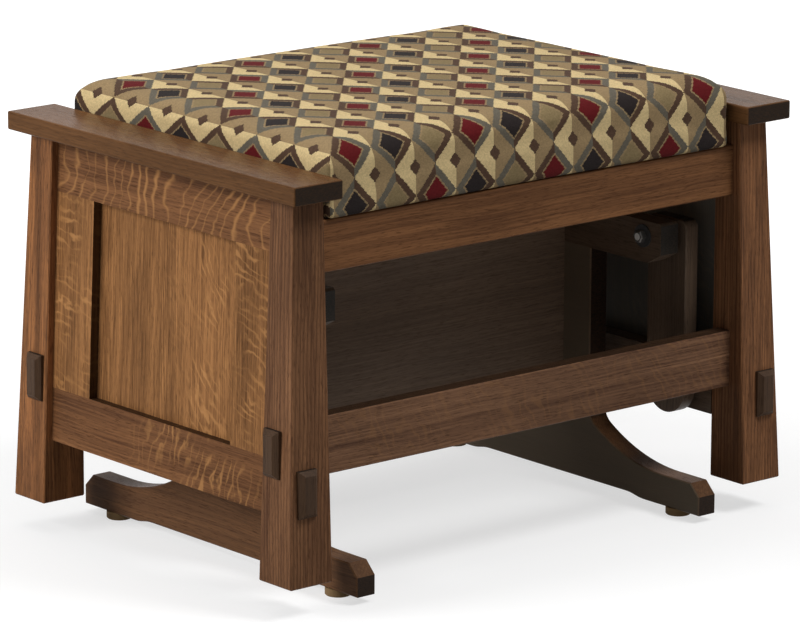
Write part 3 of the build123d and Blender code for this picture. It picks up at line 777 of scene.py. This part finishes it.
class OTTOMAN_OT_base(bpy.types.Operator):
    """Finish the still base"""

    bl_idname = "ottoman.base"
    bl_label = "Base"

    def execute(self, context):
        wood = context.scene.ottoman_oak
        link = wood.link_light, wood.link_dark
        stretcher = [tinted(tone, STRETCHER_SHADE) for tone in link]
        # Painted shade on the base ends' toes and on their faces that look inside
        dress(oak("oak_base_ends", "Y", wood.base_light, wood.base_dark, 13.9,
                  toe_shade_span=(0.18, 0.205), inside_shade=BASE_INSIDE_SHADE, gloss=0.01),
              *each("base_end", SIDES))
        dress(oak("oak_hangers", "Y", *link, 14.7, gloss=0.03), *each("hanger_rail", SIDES))
        dress(oak("oak_stretcher", "X", *stretcher, 15.1, gloss=0.06), "centre_stretcher")
        dress(moulded("felt_pads", linear(134, 106, 68), 0.8), "foot_pads")
        return {"FINISHED"}


class OTTOMAN_OT_links(bpy.types.Operator):
    """Finish the hanging links and the bearers they carry"""

    bl_idname = "ottoman.links"
    bl_label = "Links and Bearers"

    def execute(self, context):
        wood = context.scene.ottoman_oak
        link = wood.link_light, wood.link_dark
        dress(oak("oak_links", "Z", *link, 16.2, gloss=0.06), *each("link", CORNERS))
        dress(oak("oak_bearers", "Y", *link, 17.5, gloss=0.06), *each("glide_bearer", SIDES))
        return {"FINISHED"}


class OTTOMAN_OT_hardware(bpy.types.Operator):
    """Finish the bolts, nuts, bearings and inserts"""

    bl_idname = "ottoman.hardware"
    bl_label = "Hardware"

    def execute(self, context):
        dress(metal("bright_zinc", linear(226, 225, 221), 0.5), "upper_pivot_bolts")
        dress(metal("zinc_plate", linear(176, 176, 172), 0.34), "lower_pivot_bolts",
              "upper_pivot_spacers", "lower_pivot_spacers", "stretcher_screws")
        dress(metal("dull_zinc", linear(98, 95, 91), 0.5), "upper_pivot_nuts")
        dress(metal("bearing_steel", linear(150, 150, 152), 0.24),
              *each("link_bearings", CORNERS))
        dress(metal("insert_brass", linear(176, 142, 82), 0.36), "threaded_inserts")
        dress(moulded("fibre_washers", linear(30, 28, 27), 0.6), "upper_pivot_washers")
        return {"FINISHED"}


class OTTOMAN_OT_hidden_wood(bpy.types.Operator):
    """Finish the deck, cleats and dowels in bare wood"""

    bl_idname = "ottoman.hidden_wood"
    bl_label = "Deck, Cleats and Dowels"

    def execute(self, context):
        wood = context.scene.ottoman_oak
        bare = wood.plain_light, wood.plain_dark
        dress(oak("bare_deck", "X", *bare, 19.0), "seat_deck")
        dress(oak("bare_cleats", "X", *bare, 20.0), *each("deck_cleat", ENDS))
        dress(oak("bare_dowels", "Z", *bare, 21.0), "cap_dowels", "hanger_dowels")
        return {"FINISHED"}


# ---- operators: upholstery ----

WELD = 1e-5             # metres within which two points of a CAD mesh are one
RIM_FALL = 0.006        # how far the rim of the cushion's top lies below its middle

# The fold down a corner of the cushion, in metres
FOLD_FADE = 0.02        # length over which it fades out upwards
FOLD_WIDTH = 0.0022
PUFF_PLACE = 0.009      # how far the swelling beside it is from it
PUFF_WIDTH = 0.006
CREASE_WIDTH = 0.03     # how far its creases run out

# Heights of the swelling and the creases, as parts of the fold's depth
PUFF_HEIGHT = 0.5
CREASE_HEIGHT = 0.3
CREASE_SCALE = 60.0     # creases to a metre


def merged_copy(name, source):
    """A copy of a CAD node's mesh with its loose triangles joined."""
    shape = bmesh.new()
    shape.from_mesh(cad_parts[source].data)
    bmesh.ops.remove_doubles(shape, verts=shape.verts, dist=WELD)
    mesh = bpy.data.meshes.new(name)
    shape.to_mesh(mesh)
    shape.free()
    piece = bpy.data.objects.new(name, mesh)
    bpy.context.scene.collection.objects.link(piece)
    return piece


def apply_modifiers(piece):
    """Makes a piece's modifiers part of its mesh."""
    shown = piece.evaluated_get(bpy.context.evaluated_depsgraph_get())
    mesh = bpy.data.meshes.new_from_object(shown)
    piece.modifiers.clear()
    piece.data = mesh


def swell(piece, pad, held):
    """Fills a pad by cloth simulation, up to its swell limit, with the `held` points fixed."""
    group = piece.vertex_groups.new(name="held")
    group.add(held, 1.0, "REPLACE")
    start = [vertex.co.copy() for vertex in piece.data.vertices]
    modifier = piece.modifiers.new("Cloth", "CLOTH")
    cloth = modifier.settings
    cloth.quality = 6
    cloth.mass = 0.3
    cloth.tension_stiffness = cloth.compression_stiffness = 25
    cloth.shear_stiffness = 15
    cloth.bending_stiffness = 2.0
    cloth.use_pressure = True
    cloth.uniform_pressure_force = pad.pressure
    cloth.effector_weights.gravity = 0.0
    cloth.vertex_group_mass = "held"
    modifier.point_cache.frame_start = 1
    modifier.point_cache.frame_end = pad.frames
    for number in range(1, pad.frames + 1):
        bpy.context.scene.frame_set(number)
    apply_modifiers(piece)
    bpy.context.scene.frame_set(1)
    for vertex, was in zip(piece.data.vertices, start):
        moved = vertex.co - was
        if moved.length > pad.swell:
            vertex.co = was + moved.normalized() * pad.swell
    piece.vertex_groups.clear()


def fit_box(piece, low, high):
    """Scales a piece so that it just fills a box."""
    points = piece.data.vertices
    for axis in range(3):
        near = min(vertex.co[axis] for vertex in points)
        far = max(vertex.co[axis] for vertex in points)
        for vertex in points:
            part = (vertex.co[axis] - near) / (far - near)
            vertex.co[axis] = low[axis] + part * (high[axis] - low[axis])


def edge_arc(reach, height, radius):
    """Length of cloth over a rounded edge, from where it starts to curve."""
    if reach <= 0:
        return 0.0
    if height < 0:
        return radius * math.pi / 2 - height
    return radius * math.atan2(reach, height)


def lay_cover_flat(piece, roll):
    """UV map in metres: the top as it lies, and each side folded out from it."""
    half = (cushion_high - cushion_low) / 2
    bend_x, bend_y = half.x - roll, half.y - roll
    bend_z = cushion_high.z - roll - RIM_FALL
    shape = bmesh.new()
    shape.from_mesh(piece.data)
    flat = shape.loops.layers.uv.new("cover")
    for face in shape.faces:
        middle = face.calc_center_median()
        to_side = abs(middle.x) - bend_x > abs(middle.y) - bend_y
        for loop in face.loops:
            point = loop.vert.co
            height = point.z - bend_z
            x, y = point.x, point.y
            if to_side and abs(x) > bend_x:
                x = math.copysign(bend_x + edge_arc(abs(x) - bend_x, height, roll), x)
            elif not to_side and abs(y) > bend_y:
                y = math.copysign(bend_y + edge_arc(abs(y) - bend_y, height, roll), y)
            loop[flat].uv = (x, y)
    shape.to_mesh(piece.data)
    shape.free()


def square_corners(piece, corner, squareness):
    """Pulls the rounded upright corners out towards a square."""
    half = (cushion_high - cushion_low) / 2
    for vertex in piece.data.vertices:
        point = vertex.co
        over = [abs(point[axis]) - (half[axis] - corner) for axis in range(2)]
        if min(over) > 0:
            reach = math.hypot(*over)
            outline = sum((part / reach) ** squareness for part in over) ** (1 / squareness)
            for axis, part in enumerate(over):
                point[axis] += math.copysign(min(part / outline, corner) - part, point[axis])


def roll_edges(piece, low, high, roll, crown):
    """Rounds the top edges to a larger radius, first at the sides, then front and back."""
    half = (high - low) / 2
    for axis in range(2):
        for vertex in piece.data.vertices:
            point = vertex.co
            top = high.z - crown * (point.x ** 2 + point.y ** 2) / (half.x ** 2 + half.y ** 2)
            across, up = abs(point[axis]) - (half[axis] - roll), point.z - (top - roll)
            reach = math.hypot(across, up)
            if across > 0 and up > 0 and reach > roll:
                across, up = across * roll / reach, up * roll / reach
                point[axis] = math.copysign(half[axis] - roll + across, point[axis])
                point.z = top - roll + up


def loft_top(piece, pad):
    """Lifts the top evenly, more towards the rim, and most at two opposite corners."""
    middle, half = (cushion_low + cushion_high) / 2, (cushion_high - cushion_low) / 2
    for vertex in piece.data.vertices:
        point = vertex.co
        upper = max(0.0, (point.z - middle.z) / half.z)
        rim = (point.x ** 2 + point.y ** 2) / (half.x ** 2 + half.y ** 2)
        skew = point.x * point.y / (half.x * half.y)
        point.z += upper * (pad.loft + pad.rim_loft * rim - pad.twist * skew)


def hump(distance, width):
    """1 at no distance, falling away smoothly over a width."""
    return math.exp(-(distance / width) ** 2)


def fold_corners(piece, depth, roll):
    """Presses a fold down each corner and pulls faint creases from it."""
    half = (cushion_high - cushion_low) / 2
    for vertex in piece.data.vertices:
        point = vertex.co
        over_x, over_y = abs(point.x) - (half.x - roll), abs(point.y) - (half.y - roll)
        if over_x < -roll or over_y < -roll:
            continue
        down = min(1.0, max(0.0, (cushion_high.z - roll - point.z) / FOLD_FADE))
        off = abs(over_x - over_y)
        groove = hump(off, FOLD_WIDTH)
        puff = PUFF_HEIGHT * hump(off - PUFF_PLACE, PUFF_WIDTH)
        crease = noise.noise(point * CREASE_SCALE) * CREASE_HEIGHT * hump(off, CREASE_WIDTH)
        inward = Vector((-math.copysign(1, point.x), -math.copysign(1, point.y), 0))
        vertex.co = point + inward.normalized() * depth * down * (groove - puff + crease)


class OTTOMAN_OT_cushion(bpy.types.Operator):
    """Stuff the seat pad, cover it and fold its corners"""

    bl_idname = "ottoman.cushion"
    bl_label = "Cushion"

    def execute(self, context):
        pad = context.scene.ottoman_pad
        piece = merged_copy("seat_cushion", "cushion")
        square_corners(piece, pad.corner, pad.squareness)
        piece.data.remesh_voxel_size = pad.voxel
        remesh = piece.modifiers.new("Remesh", "REMESH")
        remesh.mode = "VOXEL"
        remesh.voxel_size = pad.voxel
        apply_modifiers(piece)
        inset = Vector((pad.inset, pad.inset, 0))
        fit_box(piece, cushion_low + inset, cushion_high - inset)
        roll_edges(piece, cushion_low + inset, cushion_high - inset, pad.roll, pad.crown)
        held = [vertex.index for vertex in piece.data.vertices
                if vertex.co.z < cushion_low.z + pad.voxel]
        swell(piece, pad, held)
        finer = piece.modifiers.new("Subdivision", "SUBSURF")
        finer.levels = finer.render_levels = 1
        apply_modifiers(piece)
        fit_box(piece, cushion_low, cushion_high)
        square_corners(piece, pad.corner / 4, pad.squareness)
        loft_top(piece, pad)
        fold_corners(piece, pad.pleat, pad.roll)
        lay_cover_flat(piece, pad.roll)
        for face in piece.data.polygons:
            face.use_smooth = True
        piece.data.materials.clear()
        piece.data.materials.append(cover_cloth())
        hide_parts("cushion")
        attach(piece, "seat_frame")
        return {"FINISHED"}


# ---- operators: stage ----

FLOOR_REACH = 30.0      # half the floor's width, in metres

# The floor's glow grows from the first distance from its middle to the second
GLOW_REACH = (0.5, 1.8)
GLOW = (0.62, 1.0)

# Each lamp's place, width, and the setting that holds its power
LAMPS = {
    "key_lamp": ((-2.8, 0.8, 1.6), 1.4, "key_power"),
    "fill_lamp": ((1.0, -2.0, 3.3), 1.2, "fill_power"),
    "top_lamp": ((-0.3, 0.4, 2.6), 2.0, "top_power"),
}


def seen_ray(tree):
    """1 where a ray comes from the camera, a reflection or a clear piece, and 0 elsewhere."""
    rays = add_node(tree, "ShaderNodeLightPath").outputs
    mirrored = calc(tree, "MAXIMUM", rays["Is Glossy Ray"], rays["Is Transmission Ray"])
    return calc(tree, "MAXIMUM", rays["Is Camera Ray"], mirrored)


def softbox(name, place, target, width, power):
    """A large square soft lamp aimed at a point."""
    lamp = bpy.data.lights.new(name, "AREA")
    lamp.shape = "SQUARE"
    lamp.size = width
    lamp.energy = power
    holder = bpy.data.objects.new(name, lamp)
    holder.location = place
    holder.rotation_euler = (Vector(target) - Vector(place)).to_track_quat("-Z", "Y").to_euler()
    bpy.context.scene.collection.objects.link(holder)


class OTTOMAN_OT_stage(bpy.types.Operator):
    """Lay the floor, set the lamps and place the camera"""

    bl_idname = "ottoman.stage"
    bl_label = "Stage"

    def execute(self, context):
        stage = context.scene.ottoman_stage
        scene = context.scene
        scene.view_settings.view_transform = "Standard"

        shape = bmesh.new()
        bmesh.ops.create_grid(shape, x_segments=2, y_segments=2, size=FLOOR_REACH)
        mesh = bpy.data.meshes.new("studio_floor")
        shape.to_mesh(mesh)
        shape.free()
        floor = bpy.data.objects.new("studio_floor", mesh)
        scene.collection.objects.link(floor)
        material, tree, shader = new_material("studio_floor")
        shader.inputs["Base Color"].default_value = rgba(stage.floor)
        shader.inputs["Roughness"].default_value = 0.9
        place = add_node(tree, "ShaderNodeTexCoord").outputs["Object"]
        away = add_node(tree, "ShaderNodeVectorMath", {0: place}, operation="LENGTH")
        glow = ramp(tree, away.outputs["Value"], *GLOW_REACH, *GLOW)
        tree.links.new(calc(tree, "MULTIPLY", seen_ray(tree), glow),
                       shader.inputs["Emission Strength"])
        shader.inputs["Emission Color"].default_value = (1, 1, 1, 1)
        mesh.materials.append(material)

        world = bpy.data.worlds.new("studio")
        world.use_nodes = True
        scene.world = world
        tree = world.node_tree
        background = tree.nodes["Background"]
        background.inputs["Color"].default_value = (1, 1, 1, 1)
        level = ramp(tree, seen_ray(tree), 0.0, 1.0, stage.sky, 1.0)
        tree.links.new(level, background.inputs["Strength"])

        middle = (cad_low + cad_high) / 2
        for name, (place, width, power) in LAMPS.items():
            softbox(name, place, middle, width, getattr(stage, power))

        camera = bpy.data.objects.new("camera", bpy.data.cameras.new("camera"))
        scene.collection.objects.link(camera)
        camera.data.sensor_width = 36.0
        camera.data.lens = stage.lens
        camera.data.clip_end = 100.0
        camera.location = stage.camera_place
        camera.rotation_euler = (
            Matrix.Rotation(-stage.heading, 3, "Z")
            @ Matrix.Rotation(math.pi / 2 - stage.look_down, 3, "X")
            @ Matrix.Rotation(stage.roll, 3, "Z")
        ).to_euler()
        scene.camera = camera
        return {"FINISHED"}


# ---- panel and registration ----

OPERATORS = (
    OTTOMAN_OT_stage,
    OTTOMAN_OT_legs,
    OTTOMAN_OT_side_frames,
    OTTOMAN_OT_rails,
    OTTOMAN_OT_caps,
    OTTOMAN_OT_end_blocks,
    OTTOMAN_OT_base,
    OTTOMAN_OT_links,
    OTTOMAN_OT_hardware,
    OTTOMAN_OT_hidden_wood,
    OTTOMAN_OT_cushion,
)


class OTTOMAN_PT_sidebar(bpy.types.Panel):
    """Buttons and settings for the ottoman"""

    bl_idname = "OTTOMAN_PT_sidebar"
    bl_label = "Glider Ottoman"
    bl_space_type = "VIEW_3D"
    bl_region_type = "UI"
    bl_category = "Ottoman"

    def draw(self, context):
        layout = self.layout
        for operator in OPERATORS:
            layout.operator(operator.bl_idname)
        for settings in (context.scene.ottoman_oak, context.scene.ottoman_cloth,
                         context.scene.ottoman_pad, context.scene.ottoman_stage):
            box = layout.box()
            for name in settings.__annotations__:
                box.prop(settings, name)


SETTINGS = {
    "ottoman_oak": OttomanOak,
    "ottoman_cloth": OttomanCloth,
    "ottoman_pad": OttomanPad,
    "ottoman_stage": OttomanStage,
}


def register():
    """Adds the settings, operators and panel."""
    for name, settings in SETTINGS.items():
        bpy.utils.register_class(settings)
        setattr(bpy.types.Scene, name, PointerProperty(type=settings))
    for made in (*OPERATORS, OTTOMAN_PT_sidebar):
        bpy.utils.register_class(made)


def unregister():
    """Takes them away again."""
    for made in reversed((*OPERATORS, OTTOMAN_PT_sidebar)):
        bpy.utils.unregister_class(made)
    for name, settings in reversed(SETTINGS.items()):
        delattr(bpy.types.Scene, name)
        bpy.utils.unregister_class(settings)


def main():
    """Makes the whole scene."""
    register()
    bpy.ops.ottoman.stage()
    bpy.ops.ottoman.legs()
    bpy.ops.ottoman.side_frames()
    bpy.ops.ottoman.rails()
    bpy.ops.ottoman.caps()
    bpy.ops.ottoman.end_blocks()
    bpy.ops.ottoman.base()
    bpy.ops.ottoman.links()
    bpy.ops.ottoman.hardware()
    bpy.ops.ottoman.hidden_wood()
    bpy.ops.ottoman.cushion()


if __name__ == "__main__":
    main()
